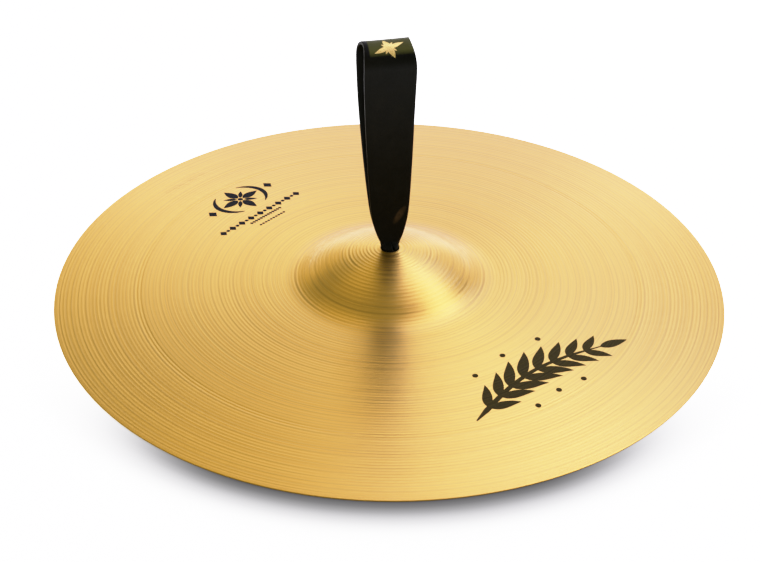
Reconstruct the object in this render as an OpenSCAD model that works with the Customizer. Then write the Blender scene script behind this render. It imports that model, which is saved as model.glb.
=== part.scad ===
// Orchestral cymbal with a leather hand strap.
// One lathed bronze plate, bell up, resting on its rim. One leather strap is
// folded into a standing hand loop; its four slit tails go down through the
// centre bore and are tied in a sailor's knot inside the bell.
// Frame: origin at the centre of the rim's rest plane, +Z up through the bore,
// the strap's width along X.

/* [Cymbal plate] */
// Outside diameter of the plate
cymbal_d = 457.2; // [430:0.2:480]
// Diameter of the centre bore that the strap passes through
bore_d = 12.7; // [12.7:0.1:13.4]
// Rise of the bow from the rim to the (extended) centre
bow_rise = 15.3; // [14:0.1:17]
// Thickness of the bronze at the rim
edge_t = 0.9; // [0.8:0.05:1.2]
// Thickness of the bronze where the bell meets the bow
shoulder_t = 1.3; // [1.1:0.05:1.5]
// Thickness of the bronze in the bell
bell_t = 1.7; // [1.4:0.05:1.8]

/* [Bell] */
// Height of the bell's crown above the rest plane
crown_z = 38.2; // [38:0.1:39.5]
// Radius of the bell's dome
dome_r = 92; // [90:1:95]
// Radius where the dome starts to flare into the bow
flare_in = 54; // [52:0.5:56]
// Radius where the flare meets the bow
flare_out = 80; // [74:0.5:84]

/* [Hand loop] */
// Height of the top of the loop above the rest plane
loop_top = 196; // [185:0.5:205]
// Outer radius of the loop's top bend
bend_r = 14.5; // [13:0.5:16]
// Thickness of the leather in the loop
strap_t = 2.3; // [2:0.1:2.5]
// Scale on the loop's width
width_scale = 1.0; // [0.9:0.01:1.1]
// Sideways lean of the loop's top
lean = -3.5; // [-5:0.1:0]

/* [Neck] */
// Height of the sideways flex line, along Y
sway_z = 41.5; // [41.5:0.1:42]
// Height of the fold line, along X
fold_z = 46.5; // [46.5:0.1:47]
// Width of the gathered leather between the two flex lines
neck_w = 11; // [10:0.1:11.4]
// Depth of the gathered leather front to back
neck_d = 6; // [5.5:0.1:6.4]

/* [Knot] */
// Width of each slit tail
tail_w = 6.8; // [6.4:0.1:6.8]
// Thickness of each tail
tail_t = 2.2; // [2:0.05:2.2]
// Centre of each tail's lane, off the bore's axis
lane = 4.7; // [4.7:0.05:4.8]
// Height of the knot's middle layer
knot_z = 30.7; // [30.4:0.1:30.8]
// Distance between layers of the knot
layer = 3.2; // [3.2:0.05:3.3]
// Length of the straight part of each free end
free_end = 22; // [14:1:24]
// How far the free ends droop, in degrees
droop = 50; // [40:1:55]

/* [Hidden] */
eps = 0.01;
R = cymbal_d / 2;
bore_r = bore_d / 2;

// ---- plate section ----
function sq(x) = x * x;
function bow_z(r) = edge_t + bow_rise * (1 - sq(r / R));
function bow_s(r) = -2 * bow_rise * r / sq(R);
function dome_z(r) = crown_z - (dome_r - sqrt(sq(dome_r) - sq(r)));
function dome_s(r) = -r / sqrt(sq(dome_r) - sq(r));
// cubic with given heights and slopes at its two ends
function flare_z(r) =
    let (w = flare_out - flare_in, u = (r - flare_in) / w)
    (2 * u * u * u - 3 * u * u + 1) * dome_z(flare_in)
    + (u * u * u - 2 * u * u + u) * w * dome_s(flare_in)
    + (-2 * u * u * u + 3 * u * u) * bow_z(flare_out)
    + (u * u * u - u * u) * w * bow_s(flare_out);
function top_z(r) = r <= flare_in ? dome_z(r) : r >= flare_out ? bow_z(r) : flare_z(r);
function wall(r) =
    r <= flare_in ? bell_t
    : r <= 80 ? bell_t + (shoulder_t - bell_t) * (r - flare_in) / (80 - flare_in)
    : shoulder_t + (edge_t - shoulder_t) * (r - 80) / (R - 80);
function under_z(r) = top_z(r) - wall(r);

// radii at which the section is drawn: closer together over the bell
section_r = concat(
    [bore_r],
    [for (i = [1 : 11]) bore_r + (flare_in - bore_r) * i / 12],
    [for (i = [0 : 13]) flare_in + (flare_out - flare_in) * i / 14],
    [for (i = [0 : 20]) flare_out + (R - 1.2 - flare_out) * i / 20]);

rest_in = R - 0.9;   // inner edge of the narrow flat land the rim rests on
rest_out = R - 0.25; // outer edge of that land

// ---- loop shape ----
// smooth interpolation in a table of [height, value]
function look(t, z, i = 0) =
    z <= t[0][0] ? t[0][1]
    : z >= t[len(t) - 1][0] ? t[len(t) - 1][1]
    : z < t[i + 1][0]
        ? let (u = (z - t[i][0]) / (t[i + 1][0] - t[i][0]),
               a = t[max(i - 1, 0)], b = t[i], c = t[i + 1], d = t[min(i + 2, len(t) - 1)],
               mb = (c[1] - a[1]) / (c[0] - a[0]) * (c[0] - b[0]),
               mc = (d[1] - b[1]) / (d[0] - b[0]) * (c[0] - b[0]))
          (2 * u * u * u - 3 * u * u + 1) * b[1] + (u * u * u - 2 * u * u + u) * mb
          + (-2 * u * u * u + 3 * u * u) * c[1] + (u * u * u - u * u) * mc
        : look(t, z, i + 1);

// width of the strap against height
width_tab = [[38, 11], [42, 12.2], [48, 17], [56, 21.4], [66, 25], [80, 27.3],
             [100, 29.4], [130, 31.8], [165, 34.2], [182, 35], [191, 33.6],
             [197, 30]];
// sideways offset of its centre line, as a share of the lean
lean_tab = [[38, 0], [70, 0.3], [110, 0.7], [150, 1], [200, 1]];
function loop_w(z) = width_scale * look(width_tab, z);
function loop_x(z) = lean * look(lean_tab, z);

bend_z = loop_top - bend_r;
root_r = 2.6; // half thickness of the two plies where they meet
// outer half depth of the two plies against height
function loop_h(z) =
    root_r + (bend_r - root_r) * pow(sin(90 * min(1, max(0, (z - fold_z) / (bend_z - fold_z)))), 1.35);

side_n = 22;
bend_n = 20;
// outline of the plies seen along X; t is the distance inside the outer face
function ply_side(t, z0) =
    [for (i = [0 : side_n])
        let (z = z0 + (bend_z - z0) * i / side_n) [loop_h(z) - t, z]];
function ply_bend(t) =
    [for (i = [1 : bend_n - 1])
        let (a = 180 * i / bend_n) [(bend_r - t) * cos(a), bend_z + (bend_r - t) * sin(a)]];
function flip(pts) = [for (i = [len(pts) - 1 : -1 : 0]) [-pts[i][0], pts[i][1]]];
function root_arc() =
    [for (i = [1 : 11]) let (a = 180 + 180 * i / 12) [root_r * cos(a), fold_z + root_r * sin(a)]];
// height at which the space between the plies starts
slit_z = fold_z + 10;

outer_pts = concat(ply_side(0, fold_z), ply_bend(0), flip(ply_side(0, fold_z)), root_arc());
inner_pts = concat(ply_side(strap_t, slit_z), ply_bend(strap_t), flip(ply_side(strap_t, slit_z)));

front_n = 44;
front_z0 = fold_z - root_r - 1;
front_z1 = loop_top + 1;
front_pts = concat(
    [for (i = [0 : front_n])
        let (z = front_z0 + (front_z1 - front_z0) * i / front_n) [loop_x(z) + loop_w(z) / 2, z]],
    [for (i = [front_n : -1 : 0])
        let (z = front_z0 + (front_z1 - front_z0) * i / front_n) [loop_x(z) - loop_w(z) / 2, z]]);

// ---- tail path ----
// Each path point is [position, face normal, curl, width]. The face normal is
// the side that faces the bore's wall and the underside of the bell.
// The first tail leaves the bore at exit_a and turns into the +Y lane.
exit_a = 60;
mid_r = bore_r - 0.3 - tail_t / 2;  // radius of the tail's middle in the bore
turn_r = 2.4;                       // bend from the bore to the knot's top layer
top_l = knot_z + layer;
low_l = knot_z - layer;
bore_top = 39;
ex = cos(exit_a);
ey = sin(exit_a);
plan_r = (lane - (mid_r + turn_r) * ex) / (1 - ey); // in-plane turn into the lane
bight_y = (mid_r + turn_r) * ey + plan_r * ex;
droop_r = 14;
cross_l = 2.0;                      // half length of the step between layers
function step3(u) = u * u * (3 - 2 * u);

path = concat(
    [for (z = [bore_top, (bore_top + top_l + turn_r) / 2])
        [[mid_r * ex, mid_r * ey, z], [ex, ey, 0], 1, tail_w]],
    [for (i = [0 : 6]) let (a = 90 * i / 6, q = mid_r + turn_r - turn_r * cos(a))
        [[q * ex, q * ey, top_l + turn_r - turn_r * sin(a)],
         [cos(a) * ex, cos(a) * ey, sin(a)], 1 - i / 6, tail_w]],
    [for (i = [1 : 4]) let (h = exit_a + (90 - exit_a) * i / 4)
        [[(mid_r + turn_r) * ex + plan_r * (sin(h) - ey),
          (mid_r + turn_r) * ey - plan_r * (cos(h) - ex), top_l],
         [0, 0, 1], 0, tail_w]],
    [for (i = [1 : 10]) let (a = 180 * i / 10)
        [[lane, bight_y + layer * sin(a), knot_z + layer * cos(a)],
         [0, sin(a), cos(a)], 0, tail_w]],
    [[[lane, (bight_y + cross_l) / 2, low_l], [0, 0, -1], 0, tail_w]],
    [for (i = [0 : 8]) let (u = i / 8, s = 6 * u * (1 - u) * layer / (2 * cross_l))
        [[lane, cross_l - 2 * cross_l * u, low_l + layer * step3(u)],
         [0, -s, -1] / norm([0, s, 1]), 0, tail_w]],
    [[[lane, -(cross_l + bight_y) / 2, knot_z], [0, 0, -1], 0, tail_w]],
    [for (i = [0 : 6]) let (a = droop * i / 6)
        [[lane, -bight_y - droop_r * sin(a), knot_z - droop_r * (1 - cos(a))],
         [0, sin(a), -cos(a)], 0, tail_w]],
    [for (i = [1 : 6])
        let (l = free_end * i / 6,
             w = i < 4 ? tail_w : i == 4 ? tail_w * 0.86 : i == 5 ? tail_w * 0.66 : tail_w * 0.42)
        [[lane, -bight_y - droop_r * sin(droop) - l * cos(droop),
          knot_z - droop_r * (1 - cos(droop)) - l * sin(droop)],
         [0, sin(droop), -cos(droop)], 0, w]]);

// section of a tail: five points across each face, with eased edges
face_u = [-0.5, -0.44, 0, 0.44, 0.5];
face_k = [0.62, 1, 1, 1, 0.62];
function across(v, k, w, side) =
    // v: across the width, k: 1 in the bore to 0 where flat
    let (x = v * w)
    k < 0.02 ? [x, side * tail_t / 2]
    : let (rr = mid_r / k, a = x / rr * 180 / PI, q = rr + side * tail_t / 2)
      [q * sin(a), q * cos(a) - rr];
function ring(i) =
    let (p = path[i][0],
         t0 = path[min(i + 1, len(path) - 1)][0] - path[max(i - 1, 0)][0],
         t = t0 / norm(t0),
         n0 = path[i][1] - (path[i][1] * t) * t,
         n = n0 / norm(n0),
         b = cross(t, n),
         k = path[i][2], w = path[i][3])
    concat(
        [for (j = [0 : 4]) let (c = across(face_u[j], k, w, face_k[j])) p + c[0] * b + c[1] * n],
        [for (j = [4 : -1 : 0]) let (c = across(face_u[j], k, w, -face_k[j])) p + c[0] * b + c[1] * n]);

module sweep_tail() {
    m = 10;
    n = len(path);
    pts = [for (i = [0 : n - 1]) each ring(i)];
    faces = concat(
        [[for (j = [0 : m - 1]) j]],
        [[for (j = [m - 1 : -1 : 0]) (n - 1) * m + j]],
        [for (i = [0 : n - 2], j = [0 : m - 1])
            let (k = (j + 1) % m)
            each [[i * m + j, (i + 1) * m + j, (i + 1) * m + k],
                  [i * m + j, (i + 1) * m + k, i * m + k]]]);
    polyhedron(pts, faces);
}

// the lathed bronze plate: bore, bell, bow and rolled-off rim
module cymbal() {
    color("#d6b064")
    rotate_extrude($fn = 180)
        polygon(concat(
            [for (r = section_r) [r, top_z(r)]],
            [[R - 0.35, edge_t], [R - 0.08, edge_t * 0.8], [R, edge_t * 0.55],
             [R - 0.05, edge_t * 0.25], [rest_out, 0], [rest_in, 0]],
            [for (i = [len(section_r) - 1 : -1 : 0]) [section_r[i], under_z(section_r[i])]]));
}

// the gathered leather in the mouth of the bore: a shallow V below clears the
// sideways flex, a flat top clears the loop's fold
module strap_neck() {
    top = fold_z - root_r - 0.3;
    low = bore_top + 0.3;
    rise = (neck_w / 2 - 1) * tan(27);
    color("#151412")
    translate([0, neck_d / 2, 0]) rotate([90, 0, 0])
        linear_extrude(neck_d)
            polygon([[-1, low], [1, low], [neck_w / 2, low + rise], [neck_w / 2, top - 0.6],
                     [neck_w / 2 - 0.6, top], [0.6 - neck_w / 2, top],
                     [-neck_w / 2, top - 0.6], [-neck_w / 2, low + rise]]);
}

// the standing hand loop: two plies that meet at the fold line and open into
// the bend at the top; its outline narrows like a spoon towards the neck
module hand_loop() {
    color("#151412")
    intersection() {
        translate([-30, 0, 0]) rotate([90, 0, 90])
            linear_extrude(60) difference() {
                polygon(outer_pts);
                polygon(inner_pts);
            }
        translate([0, 30, 0]) rotate([90, 0, 0])
            linear_extrude(60) polygon(front_pts);
    }
}

// one tail of the strap: curled against the bore's wall, out under the bell,
// folded back over its neighbour, tucked under the next and out
module tail(turn) {
    color("#1b1916") rotate([0, 0, turn]) sweep_tail();
}
module tail_back_right() { tail(0); }
module tail_back_left() { tail(90); }
module tail_front_left() { tail(180); }
module tail_front_right() { tail(270); }

cymbal();
strap_neck();
hand_loop();
tail_back_right();
tail_back_left();
tail_front_left();
tail_front_right();
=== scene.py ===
import math

import bpy
import numpy as np
from mathutils import Matrix, Vector


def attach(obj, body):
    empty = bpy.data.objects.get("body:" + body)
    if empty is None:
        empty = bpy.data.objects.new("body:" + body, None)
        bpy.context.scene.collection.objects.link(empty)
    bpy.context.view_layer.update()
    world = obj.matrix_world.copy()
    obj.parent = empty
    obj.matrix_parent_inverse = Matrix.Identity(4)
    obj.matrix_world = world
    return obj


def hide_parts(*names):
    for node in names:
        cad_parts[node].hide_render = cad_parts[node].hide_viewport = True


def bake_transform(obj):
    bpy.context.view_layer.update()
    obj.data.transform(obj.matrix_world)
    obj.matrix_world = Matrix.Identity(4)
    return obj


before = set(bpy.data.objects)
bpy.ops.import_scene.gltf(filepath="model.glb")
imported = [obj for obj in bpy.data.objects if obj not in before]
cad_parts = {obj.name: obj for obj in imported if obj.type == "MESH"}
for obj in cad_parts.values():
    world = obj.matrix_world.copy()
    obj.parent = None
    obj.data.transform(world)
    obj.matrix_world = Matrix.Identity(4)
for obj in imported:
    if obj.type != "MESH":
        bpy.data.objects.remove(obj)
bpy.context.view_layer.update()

MM = 0.001
rng = np.random.RandomState(11)

# ------------------------------------------------------------------ camera
AZ, EL, ROLL, DIST = math.radians(-12.0), math.radians(34.06), math.radians(0.61), 1.8
RIGHT = Vector((math.cos(AZ), math.sin(AZ), 0))
AWAY = Vector((-math.sin(AZ), math.cos(AZ), 0))


def make_camera():
    back = (-AWAY * math.cos(EL) + Vector((0, 0, 1)) * math.sin(EL)).normalized()
    up = back.cross(RIGHT)
    r = RIGHT * math.cos(ROLL) + up * math.sin(ROLL)
    u = up * math.cos(ROLL) - RIGHT * math.sin(ROLL)
    data = bpy.data.cameras.new("camera")
    data.sensor_fit = "HORIZONTAL"
    data.sensor_width = 36
    data.lens = 124.1
    data.shift_x = -0.0110
    data.shift_y = 0.0163
    data.clip_start = 0.05
    data.clip_end = 60
    cam = bpy.data.objects.new("camera", data)
    bpy.context.scene.collection.objects.link(cam)
    loc = back * DIST
    cam.matrix_world = Matrix(((r.x, u.x, back.x, loc.x), (r.y, u.y, back.y, loc.y),
                               (r.z, u.z, back.z, loc.z), (0, 0, 0, 1)))
    bpy.context.scene.camera = cam


make_camera()

# ------------------------------------------------------------------ plate section, in mm
R, BORE = 228.6, 6.35


def bow_z(r):
    return 0.9 + 15.3 * (1 - (r / R) ** 2)


def dome_z(r):
    return 38.2 - (92 - np.sqrt(92 ** 2 - np.minimum(r, 91) ** 2))


def top_z(r):
    r = np.asarray(r, float)
    u = (r - 54) / 26
    flare = ((2 * u ** 3 - 3 * u ** 2 + 1) * dome_z(54.0)
             + (u ** 3 - 2 * u ** 2 + u) * 26 * (-54 / math.sqrt(92 ** 2 - 54 ** 2))
             + (-2 * u ** 3 + 3 * u ** 2) * bow_z(80.0)
             + (u ** 3 - u ** 2) * 26 * (-2 * 15.3 * 80 / R ** 2))
    return np.where(r <= 54, dome_z(r), np.where(r >= 80, bow_z(r), flare))


def wall(r):
    r = np.asarray(r, float)
    return np.where(r <= 54, 1.7, np.where(r <= 80, 1.7 - 0.4 * (r - 54) / 26,
                                           1.3 - 0.4 * (r - 80) / (R - 80)))


def groove_set(seed, pitch_in, pitch_out, deep_in, deep_out):
    """Centres, widths and depths of the lathe tool's passes from the bore to the rim."""
    g = np.random.RandomState(seed)
    rows, r = [], BORE + 1.6
    while r < R - 3.0:
        bell = 1 - np.clip((r - 50) / 22, 0, 1)
        p = (pitch_out + (pitch_in - pitch_out) * bell) * (1 + 0.05 * g.uniform(-1, 1))
        d = ((deep_out + (deep_in - deep_out) * bell) * (0.78 + 0.34 * g.uniform())
             * (1 + 0.25 * math.sin(r / 9.5) * math.sin(r / 23.0)))
        rows.append((r, p, d))
        r += p
    return rows


TOP_CUTS = groove_set(3, 2.45, 2.5, 0.150, 0.066)
LOW_CUTS = groove_set(8, 3.6, 3.0, 0.07, 0.05)


def cut_depth(r, cuts):
    """Depth of the rounded, slightly lopsided tool marks at each radius."""
    r = np.asarray(r, float)
    out = np.zeros_like(r)
    starts = np.array([c[0] for c in cuts])
    i = np.clip(np.searchsorted(starts, r, side="right") - 1, 0, len(cuts) - 1)
    p = np.array([c[1] for c in cuts])[i]
    d = np.array([c[2] for c in cuts])[i]
    u = np.clip((r - starts[i]) / p, 0, 1)
    k = u ** 0.8
    out = d * np.sin(np.pi * k) ** 1.6
    out[(r < starts[0]) | (r > R - 3.0)] = 0
    return out


def calm(r):
    """The tool marks deepen a little towards the rim."""
    r = np.asarray(r, float)
    return 0.95 + 0.15 * np.clip((r - 150) / 50, 0, 1)


def rings(r):
    """The two deep rings and a few heavier passes."""
    r = np.asarray(r, float)
    out = np.zeros_like(r)
    for c, w, d in ((169.8, 0.75, 0.075), (172.2, 0.75, 0.085), (118.5, 0.8, 0.03), (95.0, 0.8, 0.03),
                    (204.5, 0.7, 0.04), (219.5, 0.7, 0.04)):
        out += d * np.exp(-((r - c) / w) ** 2)
    return out


def skin_z(r):
    """The finished top surface."""
    r = np.asarray(r, float)
    return top_z(r) - cut_depth(r, TOP_CUTS) * calm(r) - rings(r)


def out_of_true(r, ang):
    """The hammered blank is a few hundredths of a millimetre out of true."""
    soft = np.clip((r - 30) / 40, 0, 1) * np.clip((R - 6 - r) / 40, 0, 1)
    wob = (np.sin(3 * ang + r / 31) + 0.8 * np.sin(5 * ang - r / 19) + 0.6 * np.sin(9 * ang + r / 13))
    return 0.018 * wob * soft


# ------------------------------------------------------------------ mesh helpers
def new_mesh(name, verts, faces, smooth=True):
    me = bpy.data.meshes.new(name)
    me.from_pydata([tuple(v) for v in verts], [], faces)
    me.validate()
    if smooth:
        me.polygons.foreach_set("use_smooth", [True] * len(me.polygons))
    me.update()
    ob = bpy.data.objects.new(name, me)
    bpy.context.scene.collection.objects.link(ob)
    return ob


def sharp_by_angle(ob, degrees):
    """Marks edges sharper than the angle, so that flat and rounded faces shade apart."""
    import bmesh
    bm = bmesh.new()
    bm.from_mesh(ob.data)
    limit = math.radians(degrees)
    for e in bm.edges:
        e.smooth = not (len(e.link_faces) == 2 and e.calc_face_angle() > limit)
    bm.to_mesh(ob.data)
    bm.free()


# ------------------------------------------------------------------ node helpers
class Nodes:
    def __init__(self, name):
        self.mat = bpy.data.materials.new(name)
        self.mat.use_nodes = True
        self.t = self.mat.node_tree
        self.t.nodes.clear()
        self.out = self.t.nodes.new("ShaderNodeOutputMaterial")
        self.bsdf = self.t.nodes.new("ShaderNodeBsdfPrincipled")
        self.t.links.new(self.bsdf.outputs[0], self.out.inputs[0])

    def new(self, kind, **props):
        n = self.t.nodes.new(kind)
        for k, v in props.items():
            setattr(n, k, v)
        return n

    def link(self, a, b):
        self.t.links.new(a, b)

    def coords(self):
        return self.new("ShaderNodeTexCoord").outputs["Object"]

    def math(self, op, a, b=None, c=None, clamp=False):
        n = self.new("ShaderNodeMath", operation=op, use_clamp=clamp)
        for i, v in enumerate((a, b, c)):
            if v is None:
                continue
            if isinstance(v, (int, float)):
                n.inputs[i].default_value = v
            else:
                self.link(v, n.inputs[i])
        return n.outputs[0]

    def noise(self, vec, scale, detail=2.0, rough=0.5, dims="3D", w=None, distortion=0.0):
        n = self.new("ShaderNodeTexNoise", noise_dimensions=dims)
        n.inputs["Scale"].default_value = scale
        n.inputs["Detail"].default_value = detail
        n.inputs["Roughness"].default_value = rough
        n.inputs["Distortion"].default_value = distortion
        if vec is not None and dims != "1D":
            self.link(vec, n.inputs["Vector"])
        if w is not None:
            self.link(w, n.inputs["W"])
        return n.outputs["Fac"]

    def ramp(self, fac, stops, mode="LINEAR"):
        n = self.new("ShaderNodeValToRGB")
        n.color_ramp.interpolation = mode
        e = n.color_ramp.elements
        while len(e) < len(stops):
            e.new(0.5)
        for el, (p, c) in zip(e, stops):
            el.position = p
            el.color = (*c, 1) if len(c) == 3 else c
        self.link(fac, n.inputs[0])
        return n.outputs[0]

    def mix(self, fac, a, b, mode="MIX"):
        n = self.new("ShaderNodeMix", data_type="RGBA", blend_type=mode)
        for s, v in ((0, fac), (6, a), (7, b)):
            if isinstance(v, (int, float)):
                n.inputs[s].default_value = v
            elif isinstance(v, tuple):
                n.inputs[s].default_value = (*v, 1)
            else:
                self.link(v, n.inputs[s])
        return n.outputs[2]

    def span(self, v, a, b, c, d):
        n = self.new("ShaderNodeMapRange")
        n.inputs[1].default_value, n.inputs[2].default_value = a, b
        n.inputs[3].default_value, n.inputs[4].default_value = c, d
        self.link(v, n.inputs[0])
        return n.outputs[0]

    def bump(self, height, distance, strength=1.0, normal=None):
        n = self.new("ShaderNodeBump")
        n.inputs["Strength"].default_value = strength
        n.inputs["Distance"].default_value = distance
        self.link(height, n.inputs["Height"])
        if normal is not None:
            self.link(normal, n.inputs["Normal"])
        return n.outputs[0]


def bronze_material(name="bronze_lathed"):
    m = Nodes(name)
    b = m.bsdf
    co = m.coords()
    sep = m.new("ShaderNodeSeparateXYZ")
    m.link(co, sep.inputs[0])
    x, y, z = sep.outputs
    r = m.math("SQRT", m.math("ADD", m.math("MULTIPLY", x, x), m.math("MULTIPLY", y, y)))
    flat = m.new("ShaderNodeCombineXYZ")
    m.link(x, flat.inputs[0])
    m.link(y, flat.inputs[1])
    # fine tool marks: noise along the radius that hardly changes round the ring
    fine = m.noise(None, 2600.0, 2.0, 0.6, "1D", w=r)
    mid = m.noise(None, 520.0, 2.0, 0.6, "1D", w=r)
    broad = m.noise(None, 55.0, 2.0, 0.5, "1D", w=r)
    blot = m.noise(flat.outputs[0], 9.0, 3.0, 0.55)
    speck = m.noise(flat.outputs[0], 900.0, 2.0, 0.5)
    tone = m.math("ADD", m.math("MULTIPLY", broad, 0.45),
                  m.math("ADD", m.math("MULTIPLY", blot, 0.35), m.math("MULTIPLY", mid, 0.2)))
    col = m.ramp(tone, [(0.30, (0.795, 0.470, 0.066)), (0.50, (0.835, 0.503, 0.077)),
                        (0.72, (0.865, 0.536, 0.092))])
    # painted shade: darker rings along the radius in the base colour, standing in for the shade of the lathe
    # grooves
    painted_ring_shade = m.math("MULTIPLY", m.span(fine, 0.30, 0.62, 0.87, 1.0), m.span(mid, 0.35, 0.56, 0.865, 1.035))
    painted_ring_shade_rgb = m.new("ShaderNodeCombineColor")
    for i in range(3):
        m.link(painted_ring_shade, painted_ring_shade_rgb.inputs[i])
    col = m.mix(1.0, col, painted_ring_shade_rgb.outputs[0], "MULTIPLY")
    m.link(col, b.inputs["Base Color"])
    rough = m.math("ADD", m.span(mid, 0.3, 0.7, 0.33, 0.43),
                   m.math("MULTIPLY", m.math("SUBTRACT", blot, 0.5), 0.10))
    m.link(rough, b.inputs["Roughness"])
    b.inputs["Metallic"].default_value = 1.0
    b.inputs["Anisotropic"].default_value = 0.62
    b.inputs["Anisotropic Rotation"].default_value = 0.25
    tan = m.new("ShaderNodeTangent", direction_type="RADIAL", axis="Z")
    m.link(tan.outputs[0], b.inputs["Tangent"])
    b.inputs["Coat Weight"].default_value = 0.80
    b.inputs["Coat Roughness"].default_value = 0.30
    b.inputs["Coat IOR"].default_value = 1.5
    n1 = m.bump(fine, 0.00004, 0.55)
    n2 = m.bump(mid, 0.00012, 0.45, n1)
    n3 = m.bump(speck, 0.00003, 0.25, n2)
    m.link(n3, b.inputs["Normal"])
    return m.mat


def ink_material(name, base, gloss):
    m = Nodes(name)
    b = m.bsdf
    co = m.coords()
    sep = m.new("ShaderNodeSeparateXYZ")
    m.link(co, sep.inputs[0])
    r = m.math("SQRT", m.math("ADD", m.math("MULTIPLY", sep.outputs[0], sep.outputs[0]),
                              m.math("MULTIPLY", sep.outputs[1], sep.outputs[1])))
    ringed = m.noise(None, 900.0, 2.0, 0.6, "1D", w=r)
    worn = m.noise(co, 700.0, 3.0, 0.6)
    f = m.math("ADD", m.math("MULTIPLY", ringed, 0.6), m.math("MULTIPLY", worn, 0.4))
    lo = tuple(c * 0.72 for c in base)
    hi = tuple(min(1, c * 1.45 + 0.004) for c in base)
    m.link(m.ramp(f, [(0.32, lo), (0.5, base), (0.70, hi)]), b.inputs["Base Color"])
    m.link(m.span(worn, 0.3, 0.7, gloss, gloss + 0.14), b.inputs["Roughness"])
    b.inputs["Specular IOR Level"].default_value = 0.06
    m.link(m.bump(ringed, 0.00005, 0.5), b.inputs["Normal"])
    return m.mat


def leather_material(name="leather_black", base=(0.0026, 0.0028, 0.0013), worn=(0.0065, 0.0060, 0.0030)):
    m = Nodes(name)
    b = m.bsdf
    co = m.coords()
    vor = m.new("ShaderNodeTexVoronoi", feature="DISTANCE_TO_EDGE")
    vor.inputs["Scale"].default_value = 900.0
    warp = m.new("ShaderNodeTexNoise")
    warp.inputs["Scale"].default_value = 380.0
    m.link(co, warp.inputs["Vector"])
    off = m.new("ShaderNodeVectorMath", operation="MULTIPLY_ADD")
    m.link(warp.outputs["Color"], off.inputs[0])
    off.inputs[1].default_value = (0.0012, 0.0012, 0.0012)
    m.link(co, off.inputs[2])
    m.link(off.outputs[0], vor.inputs["Vector"])
    pebble = m.span(vor.outputs["Distance"], 0.0, 0.16, 0.0, 1.0)
    grain = m.noise(co, 2400.0, 3.0, 0.6)
    crease = m.noise(co, 130.0, 4.0, 0.62, distortion=0.6)
    broad = m.noise(co, 42.0, 2.0, 0.5)
    rub = m.math("MULTIPLY", m.span(broad, 0.42, 0.72, 0.0, 1.0), m.span(crease, 0.4, 0.7, 0.2, 1.0))
    col = m.mix(rub, base, worn)
    col = m.mix(m.span(pebble, 0.0, 1.0, 0.45, 0.0), col, tuple(c * 0.4 for c in base))
    sep = m.new("ShaderNodeSeparateXYZ")
    m.link(co, sep.inputs[0])
    x, y, z = sep.outputs
    # painted olive highlight on the top of the bend, where the light from above falls, and a small painted brown
    # reflection of the bronze low on the front ply
    crown = m.math("MULTIPLY", m.span(z, 0.1912, 0.1936, 0.0, 1.0),
                   m.span(m.math("ABSOLUTE", x), 0.0158, 0.0168, 1.0, 0.0))
    col = m.mix(crown, col, m.mix(broad, (0.045, 0.048, 0.009), (0.110, 0.112, 0.024)))
    # painted reflection: a brown spot where the bronze is seen in the glossy front ply
    dx = m.math("MULTIPLY", m.math("SUBTRACT", m.math("SUBTRACT", x, 0.0055), m.math("MULTIPLY", m.math("SUBTRACT", z, 0.0655), 0.45)), 380.0)
    dz = m.math("MULTIPLY", m.math("SUBTRACT", z, 0.0655), 150.0)
    d2 = m.math("ADD", m.math("MULTIPLY", dx, dx), m.math("MULTIPLY", dz, dz))
    painted_reflection = m.math("MULTIPLY", m.span(d2, 0.2, 1.4, 1.0, 0.0), m.span(y, -0.001, -0.0015, 0.0, 1.0))
    painted_reflection = m.math("MULTIPLY", painted_reflection, m.span(crease, 0.35, 0.6, 0.35, 1.0))
    col = m.mix(painted_reflection, col, (0.055, 0.032, 0.013))
    m.link(col, b.inputs["Base Color"])
    rough = m.math("ADD", m.span(crease, 0.3, 0.7, 0.34, 0.46), m.math("MULTIPLY", grain, 0.10))
    m.link(rough, b.inputs["Roughness"])
    b.inputs["Specular IOR Level"].default_value = 0.07
    n1 = m.bump(pebble, 0.00010, 0.40)
    n2 = m.bump(grain, 0.00005, 0.30, n1)
    n3 = m.bump(crease, 0.0006, 0.22, n2)
    m.link(n3, b.inputs["Normal"])
    return m.mat


def foil_material(name="foil_gold"):
    m = Nodes(name)
    b = m.bsdf
    co = m.coords()
    n = m.noise(co, 1600.0, 3.0, 0.6)
    m.link(m.ramp(n, [(0.33, (0.62, 0.42, 0.11)), (0.52, (0.90, 0.68, 0.22)), (0.75, (0.96, 0.80, 0.33))]),
           b.inputs["Base Color"])
    b.inputs["Metallic"].default_value = 0.9
    m.link(m.span(n, 0.3, 0.7, 0.34, 0.5), b.inputs["Roughness"])
    m.link(m.bump(n, 0.00005, 0.4), b.inputs["Normal"])
    return m.mat


BRONZE = bronze_material()
LEATHER = leather_material()
NAVY = ink_material("ink_navy", (0.0030, 0.0050, 0.0075), 0.42)
OLIVE = ink_material("ink_olive_brown", (0.052, 0.039, 0.0030), 0.45)
FOIL = foil_material()


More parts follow.
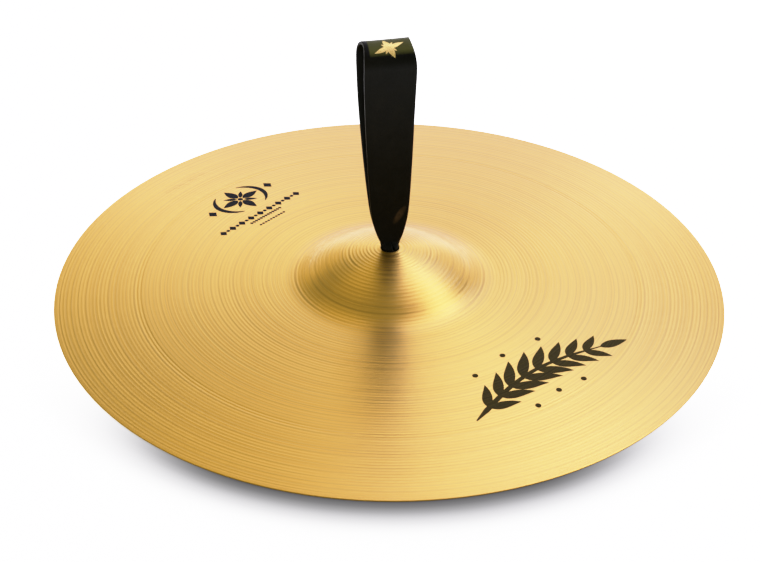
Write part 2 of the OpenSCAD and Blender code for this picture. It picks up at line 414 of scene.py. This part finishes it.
# ------------------------------------------------------------------ the plate
def build_plate():
    seg = 132
    top = [BORE + 0.25, BORE + 0.6, BORE + 1.1, BORE + 1.6]
    r = BORE + 1.6
    for s, p, d in TOP_CUTS:
        n = 6
        if 166 < s < 175:
            n = 9
        top += [s + p * (i + 1) / n for i in range(n)]
    top = np.array([v for v in top if v < R - 1.5])
    rim = [(R - 1.3, float(top_z(R - 1.3))), (R - 0.7, float(top_z(R - 0.7))), (R - 0.35, 0.9), (R - 0.18, 0.82),
           (R - 0.08, 0.72), (R - 0.02, 0.60), (R, 0.495), (R - 0.015, 0.35), (R - 0.05, 0.225), (R - 0.13, 0.09),
           (R - 0.25, 0.0), (R - 0.55, 0.0), (R - 0.9, 0.0)]
    under = [BORE + 0.25, BORE + 0.7, BORE + 1.6]
    for s, p, d in LOW_CUTS:
        under += [s + p * (i + 1) / 2.0 for i in range(2)]
    under = np.array([v for v in under if v < R - 1.8])
    low = top_z(under) - wall(under)
    # tool marks on the underside are cut the other way, up into the metal
    starts = np.array([c[0] for c in LOW_CUTS])
    mark = cut_depth(under, LOW_CUTS)
    pts = [(float(a), float(b)) for a, b in zip(top, skin_z(top))]
    pts += rim
    pts += [(float(a), float(b)) for a, b in zip(under[::-1], (low + mark)[::-1])]
    zb0 = float(top_z(BORE + 0.25))
    zl0 = float(top_z(BORE + 0.25) - wall(BORE))
    pts += [(BORE + 0.08, zl0 + 0.08), (BORE, zl0 + 0.25), (BORE, zb0 - 0.25), (BORE + 0.08, zb0 - 0.08)]
    pts = np.array(pts)
    n = len(pts)
    ang = np.arange(seg) * 2 * np.pi / seg
    ca, sa = np.cos(ang), np.sin(ang)
    rr, zz = pts[:, 0], pts[:, 1]
    X = rr[:, None] * ca[None]
    Y = rr[:, None] * sa[None]
    Z = np.repeat(zz[:, None], seg, 1)
    Z = Z + out_of_true(rr[:, None], ang[None])
    verts = np.stack([X, Y, Z], -1).reshape(-1, 3) * MM
    faces = []
    for i in range(n):
        k = (i + 1) % n
        for j in range(seg):
            l = (j + 1) % seg
            faces.append((i * seg + j, k * seg + j, k * seg + l, i * seg + l))
    ob = new_mesh("cymbal_plate", verts, faces)
    me = ob.data
    # a plain map for baking: the top disc and the underside side by side
    uv = me.uv_layers.new(name="OFBake")
    loops = np.zeros(len(me.loops), np.int32)
    me.loops.foreach_get("vertex_index", loops)
    row = loops // seg
    ntop = len(top) + 7
    is_top = row < ntop
    vx = verts[loops]
    poly_row = np.repeat(np.arange(n), seg)          # face rows, in order
    face_top = np.repeat(poly_row < ntop, 4)
    s = 0.245 / (R * MM)
    cu = np.where(face_top, 0.25, 0.75)
    side = np.where(face_top, 1.0, -1.0)
    u = cu + side * vx[:, 0] * s
    v = 0.5 + vx[:, 1] * s * 2
    uv.data.foreach_set("uv", np.stack([u, v], -1).astype(np.float32).ravel())
    me.materials.append(BRONZE)
    sharp_by_angle(ob, 40)
    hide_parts("cymbal")
    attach(ob, "plate")
    return ob


PLATE = build_plate()


# ------------------------------------------------------------------ thin marks that follow a surface
class Marks:
    """Thin closed slabs over a surface: each shape is a grid of plan points."""

    def __init__(self, lift=0.05, depth=0.22):
        self.v, self.f = [], []
        self.lift, self.depth = lift, depth

    def grid(self, g, place):
        """g: (n, m, 2) plan points; place(points, height) gives 3D points in mm."""
        g = np.asarray(g, float)
        n, m = g.shape[:2]
        a = len(self.v)
        flat = g.reshape(-1, 2)
        # orientation: keep faces looking outwards
        e1, e2 = g[1, 0] - g[0, 0], g[0, 1] - g[0, 0]
        c = g[n // 2, m // 2] * 0
        area = 0.0
        ring = np.concatenate([g[:, 0], g[-1, 1:], g[::-1, -1][1:], g[0, ::-1][1:-1]])
        x, y = ring[:, 0], ring[:, 1]
        area = np.sum(x * np.roll(y, -1) - np.roll(x, -1) * y)
        up = place(flat, self.lift)
        dn = place(flat, -self.depth)
        self.v += list(up) + list(dn)
        o = n * m

        def q(w, x_, y_, z_):
            self.f.append((w, x_, y_, z_) if area > 0 else (z_, y_, x_, w))

        for i in range(n - 1):
            for j in range(m - 1):
                p = a + i * m + j
                q(p, p + m, p + m + 1, p + 1)
                q(p + o, p + 1 + o, p + m + 1 + o, p + m + o)
        for i in range(n - 1):
            p = a + i * m
            q(p, p + o, p + m + o, p + m)
            p = a + i * m + m - 1
            q(p, p + m, p + m + o, p + o)
        for j in range(m - 1):
            p = a + j
            q(p, p + 1, p + 1 + o, p + o)
            p = a + (n - 1) * m + j
            q(p, p + o, p + 1 + o, p + 1)

    def build(self, name, mat, body):
        ob = new_mesh(name, np.array(self.v) * MM, self.f)
        ob.data.materials.append(mat)
        sharp_by_angle(ob, 40)
        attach(ob, body)
        return ob


def leaf(length, width, n=30, m=9, tip=1.35, bend=0.0, base=0.10):
    """A pointed leaf from the origin along +u, as a grid."""
    t = np.linspace(0, 1, n)
    w = width / 2 * np.maximum(np.sin(np.pi * t ** 0.8) ** 0.9, 0) * (1 - 0.15 * t)
    w = np.maximum(w, 0.06 * width * (1 - t) + 0.03)
    c = bend * np.sin(np.pi * t / 2) ** 2 * length
    s = np.linspace(-1, 1, m)
    u = np.repeat((t * length)[:, None], m, 1)
    v = c[:, None] + w[:, None] * s[None]
    return np.stack([u, v], -1)


def bar(length, width, n=None, m=5):
    n = n or max(6, int(length / 0.8))
    t = np.linspace(-0.5, 0.5, n)
    s = np.linspace(-0.5, 0.5, m)
    u = np.repeat((t * length)[:, None], m, 1)
    e = np.clip((0.5 - np.abs(t)) * length / (width * 0.5), 0, 1) ** 0.5
    e = np.maximum(e, 0.35)
    v = e[:, None] * width * s[None]
    return np.stack([u, v], -1)


def ribbon(pts, width, m=5):
    """A band of changing width along plan points."""
    p = np.asarray(pts, float)
    t = np.gradient(p, axis=0)
    t /= np.linalg.norm(t, axis=1)[:, None]
    nrm = np.stack([-t[:, 1], t[:, 0]], -1)
    w = np.broadcast_to(np.asarray(width, float), (len(p),))
    s = np.linspace(-0.5, 0.5, m)
    return p[:, None] + nrm[:, None] * (w[:, None, None] * s[None, :, None])


def disc(radius, n=14, m=14, squash=1.0):
    """A round spot as a square grid mapped to a circle."""
    a = np.linspace(-1, 1, n)
    U, V = np.meshgrid(a, a, indexing="ij")
    x = U * np.sqrt(1 - V * V / 2)
    y = V * np.sqrt(1 - U * U / 2)
    return np.stack([x * radius, y * radius * squash], -1)


def turned(g, degrees, du=0.0, dv=0.0):
    a = math.radians(degrees)
    c, s = math.cos(a), math.sin(a)
    return np.stack([g[..., 0] * c - g[..., 1] * s + du, g[..., 0] * s + g[..., 1] * c + dv], -1)


def on_plate(r0, azimuth, twist=0.0):
    """Plan frame on the plate: u to the reader's right, v out towards the rim."""
    a = math.radians(azimuth)
    out = np.array([math.cos(a), math.sin(a)])
    right = np.array([math.sin(a), -math.cos(a)])
    tw = math.radians(twist)
    eu = right * math.cos(tw) + out * math.sin(tw)
    ev = -right * math.sin(tw) + out * math.cos(tw)

    def place(p, h):
        xy = out * r0 + p[:, :1] * eu + p[:, 1:] * ev
        r = np.hypot(xy[:, 0], xy[:, 1])
        return np.column_stack([xy, skin_z(r) + out_of_true(r, np.arctan2(xy[:, 1], xy[:, 0])) + h])

    return place


def lozenge(w, h, n=9):
    g = np.linspace(-1, 1, n)
    U, V = np.meshgrid(g, g, indexing="ij")
    return np.stack([(U + V) * w / 4, (V - U) * h / 4], -1)


def small_ornament():
    """A plain rosette between two leafy scrolls, with three beaded rows under it."""
    mk = Marks(0.04, 0.2)
    p = on_plate(124.0, 126.0, 0.0)
    cu, cv = 5.5, 25.5
    for k in range(8):
        big = k % 2 == 0
        g = leaf(14.0 if big else 9.5, 7.0 if big else 3.4, 28, 11)
        mk.grid(turned(turned(g, 0, 2.6, 0.0), 45 * k + 90, cu, cv), p)
    mk.grid(turned(disc(1.9, 9, 9), 0, cu, cv), p)
    for s in (-1, 1):
        t = np.linspace(-1, 1, 44)
        arc = np.stack([cu + s * 19.5 * np.cos(t * 1.02), cv + 17.5 * np.sin(t * 1.02)], -1)
        mk.grid(ribbon(arc, 0.5 + 3.1 * (1 - t ** 2), 7), p)
        mk.grid(turned(lozenge(6.6, 8.6, 11), 0, cu + s * 27.5, cv), p)
    n = 17
    for i in range(n):
        x = (i - (n - 1) / 2) * 4.55
        if i % 2 == 0:
            mk.grid(turned(lozenge(5.6, 6.6), 0, x, 0.0), p)
        else:
            mk.grid(turned(disc(1.35, 7, 7), 0, x, 0.0), p)
    for i in range(13):
        mk.grid(turned(lozenge(2.5, 3.2, 7), 0, (i - 6) * 2.35, -5.6), p)
    for i in range(10):
        mk.grid(turned(disc(1.0, 7, 7), 0, (i - 4.5) * 2.55, -12.2), p)
    return mk.build("ornament_small", NAVY, "plate")


def large_ornament():
    """A leafy spray along the plate, drawn as leaves and berries on a stem."""
    mk = Marks(0.04, 0.2)
    p = on_plate(141.5, -58.5, 180.0)
    n = 110
    t = np.linspace(0, 1, n)
    u = -66 + 118 * t
    v = 8.5 * np.sin(1.15 * np.pi * (t - 0.10)) - 7.0
    stem = np.stack([u, v], -1)
    mk.grid(ribbon(stem, np.interp(t, [0, 0.10, 0.8, 1], [1.0, 4.0, 2.4, 0.8]), 7), p)
    for k, s in enumerate(np.linspace(0.13, 0.89, 8)):
        i = int(s * (n - 1))
        d = stem[min(i + 1, n - 1)] - stem[i - 1]
        base = math.degrees(math.atan2(d[1], d[0]))
        size = 27.0 - 9.0 * abs(s - 0.42) * 2
        for side in (-1, 1):
            g = leaf(size, 8.6 - 2.0 * abs(s - 0.42) * 2, 44, 15, bend=-0.12 * side)
            mk.grid(turned(g, base + side * 46, *stem[i]), p)
        if 0 < k < 6 and k % 2 == 1:
            for side in (-1, 1):
                td = d / np.linalg.norm(d)
                nd = np.array([-td[1], td[0]]) * side
                mk.grid(turned(disc(2.0, 11, 11), 0, *(stem[i] + nd * 24.0 + td * 7.5)), p)
    g = leaf(21.0, 7.6, 36, 13)
    mk.grid(turned(g, math.degrees(math.atan2(*(stem[-1] - stem[-3])[::-1])), *stem[-2]), p)
    return mk.build("ornament_large", OLIVE, "plate")


def pressed_marks():
    """A faint pressed row of small lozenges near the rim."""
    mk = Marks(0.015, 0.1)
    p = on_plate(201.0, 126.0, 0.0)
    g = np.linspace(-1, 1, 9)
    U, V = np.meshgrid(g, g, indexing="ij")
    for i, size in enumerate((2.0, 2.8, 3.6, 2.8, 2.0)):
        ring = [(size * 1.25, 0), (0, size), (-size * 1.25, 0), (0, -size), (size * 1.25, 0)]
        pts = []
        for a, b in zip(ring, ring[1:]):
            pts += [np.array(a) + (np.array(b) - np.array(a)) * q for q in np.linspace(0, 1, 6)[:-1]]
        pts.append(np.array(ring[0]))
        mk.grid(turned(ribbon(pts, 0.7, 3), 0, (i - 2) * 8.4, 0.0), p)
    return mk.build("pressed_row", BRONZE, "plate")


small_ornament()
large_ornament()
pressed_marks()

# ------------------------------------------------------------------ the strap
FOLD, ROOT, ST, BEND, TOPZ = 46.5, 2.6, 2.3, 14.5, 196.0
BEND_Z = TOPZ - BEND
WIDTH = [[38, 11], [42, 12.2], [48, 17], [56, 21.4], [66, 25], [80, 27.3],
         [100, 29.4], [130, 31.8], [165, 34.2], [182, 35], [191, 33.6], [197, 30]]
LEAN = [[38, 0], [70, 0.3], [110, 0.7], [150, 1], [200, 1]]


def look(tab, z):
    if z <= tab[0][0]:
        return tab[0][1]
    if z >= tab[-1][0]:
        return tab[-1][1]
    for i in range(len(tab) - 1):
        if z < tab[i + 1][0]:
            u = (z - tab[i][0]) / (tab[i + 1][0] - tab[i][0])
            a, b, c, d = tab[max(i - 1, 0)], tab[i], tab[i + 1], tab[min(i + 2, len(tab) - 1)]
            mb = (c[1] - a[1]) / (c[0] - a[0]) * (c[0] - b[0])
            mc = (d[1] - b[1]) / (d[0] - b[0]) * (c[0] - b[0])
            return ((2 * u ** 3 - 3 * u * u + 1) * b[1] + (u ** 3 - 2 * u * u + u) * mb
                    + (-2 * u ** 3 + 3 * u * u) * c[1] + (u ** 3 - u * u) * mc)


def loop_h(z):
    k = min(1, max(0, (z - FOLD) / (BEND_Z - FOLD)))
    return ROOT + (BEND - ROOT) * math.sin(math.pi / 2 * k) ** 1.35


def loop_w(z):
    return look(WIDTH, z)


def loop_x(z):
    return -3.5 * look(LEAN, z)


NECK_Z = 43.8


def ply_line():
    """Middle line of the ply seen along X: up the front, over the bend, down the back."""
    side = []
    zs = np.concatenate([np.linspace(NECK_Z, 60, 40), np.linspace(60, BEND_Z, 80)[1:]])
    for z in zs:
        side.append((loop_h(z) - ST / 2, z))
    arc = [((BEND - ST / 2) * math.cos(a), BEND_Z + (BEND - ST / 2) * math.sin(a))
           for a in np.linspace(0, math.pi, 41)[1:-1]]
    front = [(-y, z) for y, z in side]
    top = [(-y, z) for y, z in arc]
    back = [(y, z) for y, z in reversed(side)]
    return np.array(front + top + back)


def rounded(hw, ht, rad, m_side=9, m_arc=5, crown=0.0):
    """Section of a strap, width along u and thickness along v, with eased edges."""
    pts = []
    for sx, sy, a0 in ((1, 1, 0), (-1, 1, 90), (-1, -1, 180), (1, -1, 270)):
        for k in range(m_arc):
            a = math.radians(a0 + 90 * k / (m_arc - 1))
            pts.append((sx * (hw - rad) + rad * math.cos(a), sy * (ht - rad) + rad * math.sin(a)))
        if a0 in (0, 180):
            for k in range(1, m_side):
                f = k / m_side
                x = sx * (hw - rad) * (1 - 2 * f)
                pts.append((x, sy * (ht + crown * (1 - (x / (hw - rad)) ** 2))))
    return pts


def build_loop():
    line = ply_line()
    n = len(line)
    tan = np.gradient(line, axis=0)
    tan /= np.linalg.norm(tan, axis=1)[:, None]
    verts, m = [], None
    for i, ((y, z), (ty, tz)) in enumerate(zip(line, tan)):
        hw = loop_w(z) / 2
        cx = loop_x(z)
        nrm = (-tz, ty)          # towards the outside of the loop
        k = min(1, max(0, (z - 44) / 20))
        sec = rounded(hw, ST / 2, 0.85, 9, 5, 0.0)
        m = len(sec)
        # the outer face is a little hollow across its width on the plies and crowned at the edges
        for u, v in sec:
            e = (u / hw) ** 2
            bow = 0.16 * k * (1 - e)
            # a soft pull-in where the strap is gathered
            verts.append((cx + u, y + nrm[0] * (v - bow), z + nrm[1] * (v - bow)))
    faces = []
    for i in range(n - 1):
        for j in range(m):
            k = (j + 1) % m
            faces.append((i * m + j, i * m + k, (i + 1) * m + k, (i + 1) * m + j))
    faces.append(tuple(range(m - 1, -1, -1)))
    faces.append(tuple((n - 1) * m + j for j in range(m)))
    ob = new_mesh("strap_loop", np.array(verts) * MM, faces)
    import bmesh
    bm = bmesh.new()
    bm.from_mesh(ob.data)
    bmesh.ops.recalc_face_normals(bm, faces=bm.faces)
    bm.to_mesh(ob.data)
    bm.free()
    ob.data.materials.append(LEATHER)
    sharp_by_angle(ob, 50)
    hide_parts("hand_loop", "strap_neck")
    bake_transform(ob)
    return ob


build_loop()


def on_strap_top():
    """u to the reader's right along the strap's width, v over the bend from front to back."""
    rad = BEND

    def place(p, h):
        a = math.radians(113.0) - p[:, 1] / rad
        z0 = BEND_Z + rad * np.sin(a)
        cx = np.array([loop_x(z) for z in z0])
        e = (p[:, 0] / 16.0) ** 2
        q = rad + h - 0.16 * (1 - e)
        return np.column_stack([cx + p[:, 0], q * np.cos(a), BEND_Z + q * np.sin(a)])

    def flipped(p, h):
        r = place(p * np.array([1, 1]), h)
        return r

    return flipped


def foil_ornament():
    mk = Marks(0.03, 0.3)
    p = on_strap_top()
    for k, (ln, w) in enumerate(((10.6, 3.6), (5.6, 2.0), (8.2, 4.0), (5.6, 2.0)) * 2):
        mk.grid(turned(leaf(ln, w, 22, 9, bend=0.10 if k % 2 == 0 else 0.0), 45 * k + 14, 0.4, 0), p)
    mk.grid(turned(disc(1.3, 7, 7), 0, 0.4, 0), p)
    return mk.build("foil_rosette", FOIL, "loop")


foil_ornament()

# ------------------------------------------------------------------ the knot's four tails
LANE, TW, TT, KZ, LAYER, FREE, DROOP = 4.7, 6.8, 2.2, 30.7, 3.2, 22.0, 50.0
MIDR = BORE - 0.3 - TT / 2
TURN = 2.4
EX, EY = math.cos(math.radians(60)), math.sin(math.radians(60))
PLANR = (LANE - (MIDR + TURN) * EX) / (1 - EY)
BIGHT = (MIDR + TURN) * EY + PLANR * EX
DR, CROSS = 14.0, 2.0


def tail_path(target, lead):
    """Rows of (position, face normal, curl, width): from the gathered neck down the bore and round the knot.
    target and lead: the strip's centre and its outward face at the neck, in the tail's own turned frame."""
    rows = []
    topz = 39.0
    tl, ll = KZ + LAYER, KZ - LAYER
    bore_p = np.array([MIDR * EX, MIDR * EY])
    # above the bore the strip straightens out and joins the ply it was slit from
    for z in np.linspace(NECK_Z, topz, 12)[:-1]:
        f = (z - topz) / (NECK_Z - topz)
        s = f * f * (3 - 2 * f)
        xy = bore_p * (1 - s) + target * s
        n = np.array([EX, EY]) * (1 - s) + lead * s
        n /= np.linalg.norm(n)
        rows.append(((xy[0], xy[1], z), (n[0], n[1], 0), 1 - s, TW * (1 - s) + 6.15 * s))
    for z in np.linspace(topz, tl + TURN, 6)[:-1]:
        rows.append(((*bore_p, z), (EX, EY, 0), 1.0, TW))
    for i in range(17):
        a = math.pi / 2 * i / 16
        q = MIDR + TURN - TURN * math.cos(a)
        rows.append(((q * EX, q * EY, tl + TURN - TURN * math.sin(a)),
                     (math.cos(a) * EX, math.cos(a) * EY, math.sin(a)), 1 - i / 16, TW))
    for i in range(1, 9):
        h = math.radians(60 + 30 * i / 8)
        rows.append((((MIDR + TURN) * EX + PLANR * (math.sin(h) - EY),
                      (MIDR + TURN) * EY - PLANR * (math.cos(h) - EX), tl), (0, 0, 1), 0, TW))
    for i in range(1, 25):
        a = math.pi * i / 24
        rows.append(((LANE, BIGHT + LAYER * math.sin(a), KZ + LAYER * math.cos(a)),
                     (0, math.sin(a), math.cos(a)), 0, TW))
    for y in np.linspace(BIGHT, CROSS, 6)[1:-1]:
        rows.append(((LANE, y, ll), (0, 0, -1), 0, TW))
    for i in range(13):
        u = i / 12
        s = 6 * u * (1 - u) * LAYER / (2 * CROSS)
        k = math.hypot(s, 1)
        rows.append(((LANE, CROSS - 2 * CROSS * u, ll + LAYER * u * u * (3 - 2 * u)), (0, -s / k, -1 / k), 0, TW))
    for y in np.linspace(-CROSS, -BIGHT, 6)[1:-1]:
        rows.append(((LANE, y, KZ), (0, 0, -1), 0, TW))
    d = math.radians(DROOP)
    for i in range(13):
        a = d * i / 12
        rows.append(((LANE, -BIGHT - DR * math.sin(a), KZ - DR * (1 - math.cos(a))),
                     (0, math.sin(a), -math.cos(a)), 0, TW))
    for i in range(1, 21):
        l = FREE * i / 20
        f = i / 20
        w = TW * (1 if f < 0.5 else 1 - 0.6 * ((f - 0.5) / 0.5) ** 1.7)
        rows.append(((LANE, -BIGHT - DR * math.sin(d) - l * math.cos(d),
                      KZ - DR * (1 - math.cos(d)) - l * math.sin(d)), (0, math.sin(d), -math.cos(d)), 0, w))
    return rows


def build_tail(name, turn, at, face):
    t = math.radians(-turn)
    c, s = math.cos(t), math.sin(t)
    own = lambda p: np.array([p[0] * c - p[1] * s, p[0] * s + p[1] * c])
    rows = tail_path(own(at), own(face))
    P = np.array([r[0] for r in rows])
    N = np.array([r[1] for r in rows])
    K = np.array([r[2] for r in rows])
    W = np.array([r[3] for r in rows])
    T = np.zeros_like(P)
    T[1:-1] = P[2:] - P[:-2]
    T[0], T[-1] = P[1] - P[0], P[-1] - P[-2]
    T /= np.linalg.norm(T, axis=1)[:, None]
    N = N - np.sum(N * T, 1)[:, None] * T
    N /= np.linalg.norm(N, axis=1)[:, None]
    B = np.cross(T, N)
    verts, m = [], None
    for p, nn, b, k, w in zip(P, N, B, K, W):
        sec = rounded(w / 2, TT / 2, 0.62, 5, 4)
        m = len(sec)
        for u, v in sec:
            if k < 0.02:
                verts.append(p + u * b + v * nn)
            else:
                rr = MIDR / k
                a = u / rr
                q = rr + v
                verts.append(p + q * math.sin(a) * b + (q * math.cos(a) - rr) * nn)
    verts = np.array(verts)
    t = math.radians(turn)
    c, s = math.cos(t), math.sin(t)
    x, y = verts[:, 0].copy(), verts[:, 1].copy()
    verts[:, 0], verts[:, 1] = x * c - y * s, x * s + y * c
    n = len(rows)
    faces = [(i * m + j, i * m + (j + 1) % m, (i + 1) * m + (j + 1) % m, (i + 1) * m + j)
             for i in range(n - 1) for j in range(m)]
    faces.append(tuple(range(m - 1, -1, -1)))
    faces.append(tuple((n - 1) * m + j for j in range(m)))
    ob = new_mesh("strap_" + name, verts * MM, faces)
    import bmesh
    bm = bmesh.new()
    bm.from_mesh(ob.data)
    bmesh.ops.recalc_face_normals(bm, faces=bm.faces)
    bm.to_mesh(ob.data)
    bm.free()
    ob.data.materials.append(LEATHER)
    sharp_by_angle(ob, 50)
    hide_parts(name)
    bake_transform(ob)
    return ob


build_tail("tail_back_right", 0, (3.1, 1.5), (0, 1))
build_tail("tail_back_left", 90, (-3.1, 1.5), (0, 1))
build_tail("tail_front_left", 180, (-3.1, -1.5), (0, -1))
build_tail("tail_front_right", 270, (3.1, -1.5), (0, -1))


# ------------------------------------------------------------------ floor and light
def build_floor():
    me = bpy.data.meshes.new("floor")
    s = 9.0
    me.from_pydata([(-s, -s, 0), (s, -s, 0), (s, s, 0), (-s, s, 0)], [], [(0, 1, 2, 3)])
    ob = bpy.data.objects.new("floor", me)
    bpy.context.scene.collection.objects.link(ob)
    m = Nodes("floor_pale")
    co = m.coords()
    n = m.noise(co, 3.0, 2.0, 0.5)
    pale = m.ramp(n, [(0.3, (0.90, 0.90, 0.91)), (0.7, (0.93, 0.93, 0.94))])
    # the soft shade on the floor on the side away from the lights
    sep = m.new("ShaderNodeSeparateXYZ")
    m.link(co, sep.inputs[0])
    x, y = sep.outputs[0], sep.outputs[1]
    r = m.math("SQRT", m.math("ADD", m.math("MULTIPLY", x, x), m.math("MULTIPLY", y, y)))
    toward = m.math("DIVIDE", m.math("ADD", m.math("MULTIPLY", x, -AWAY.x), m.math("MULTIPLY", y, -AWAY.y)), r)
    side = m.new("ShaderNodeMapRange", interpolation_type="SMOOTHSTEP")
    side.inputs[1].default_value, side.inputs[2].default_value = 0.30, 0.93
    m.link(toward, side.inputs[0])
    out = m.span(r, 0.2286, 0.2786, 0.0, 1.0)
    fall = m.ramp(out, [(p, (v, v, v)) for p, v in (
        (0.0, 0.055), (0.10, 0.10), (0.21, 0.19), (0.34, 0.33), (0.42, 0.42), (0.50, 0.55), (0.57, 0.67),
        (0.66, 0.86), (0.80, 0.97), (1.0, 1.0))])
    shade = m.mix(side.outputs[0], (1.0, 1.0, 1.0), fall)
    m.link(m.mix(1.0, pale, shade, "MULTIPLY"), m.bsdf.inputs["Base Color"])
    m.bsdf.inputs["Roughness"].default_value = 0.9
    m.bsdf.inputs["Specular IOR Level"].default_value = 0.0
    m.link(m.mix(1.0, (1.0, 1.0, 1.0), shade, "MULTIPLY"), m.bsdf.inputs["Emission Color"])
    m.bsdf.inputs["Emission Strength"].default_value = 1.7
    me.materials.append(m.mat)


build_floor()


def camera_dir(x, y, z):
    """A direction given to the camera's right, away from it and up."""
    return (RIGHT * x + AWAY * y + Vector((0, 0, z))).normalized()


def softbox(name, direction, dist, w, h, power, color=(1, 1, 1), aim=(0, 0, 0.03)):
    d = camera_dir(*direction)
    data = bpy.data.lights.new(name, "AREA")
    data.shape = "RECTANGLE"
    data.size, data.size_y = w, h
    data.energy = power
    data.color = color
    ob = bpy.data.objects.new(name, data)
    bpy.context.scene.collection.objects.link(ob)
    ob.location = Vector(aim) + d * dist
    ob.rotation_euler = (ob.location - Vector(aim)).to_track_quat("Z", "Y").to_euler()
    ob.visible_camera = False
    return ob


# (name, elevation, angle from straight behind towards the right, red, green and blue strength)
for name, el, az, cr, cg, cb in (
        ("high_left", 64, -30, 4.6, 3.5, 0.8),
        ("key_high", 64, 30, 14.4, 13.6, 19.3),
        ("high_right", 64, 90, 4.7, 3.2, 6.1),
        ("back_high", 46, 30, 4.3, 5.6, 16.2),
        ("right_back", 46, 60, 5.8, 5.7, 11.1),
        ("right_wall", 46, 90, 18.2, 18.1, 21.5),
        ("back_mid", 30, 0, 7.6, 7.4, 7.4),
        ("back_low_left", 14, -30, 3.8, 2.9, 0.5),
        ("back_low", 14, 0, 5.3, 4.7, 8.7),
        ("back_low_right", 14, 30, 6.8, 5.8, 6.0)):
    e_, a_ = math.radians(el), math.radians(az)
    peak = max(cr, cg, cb)
    softbox(name, (math.sin(a_) * math.cos(e_), math.cos(a_) * math.cos(e_), math.sin(e_)),
            3.0, 1.9, 1.5, peak, (cr / peak, cg / peak, cb / peak))

world = bpy.data.worlds.new("studio")
bpy.context.scene.world = world
world.use_nodes = True
wt = world.node_tree
wt.nodes.clear()
wo = wt.nodes.new("ShaderNodeOutputWorld")
wb = wt.nodes.new("ShaderNodeBackground")
wt.links.new(wb.outputs[0], wo.inputs[0])
wb.inputs[0].default_value = (1.000, 0.949, 0.565, 1)
wb.inputs[1].default_value = 0.292

view = bpy.context.scene.view_settings
view.view_transform = "Standard"
view.look = "None"
view.exposure = 0.0
view.use_curve_mapping = True
cm = view.curve_mapping
cm.white_level = (2.4, 2.4, 2.4)
curve = cm.curves[3]
for p, x in zip(curve.points, (0.0, 1.0)):
    p.location = (x, x)
for x in (0.15, 0.25, 0.31, 0.38, 0.46, 0.56, 0.70, 0.85):
    v = x * 2.4
    y = v if v < 0.6 else 0.6 + 0.4 * (1 - math.exp(-(v - 0.6) / 0.4))
    curve.points.new(x, y)
for p in curve.points:
    p.handle_type = "AUTO_CLAMPED"
cm.update()
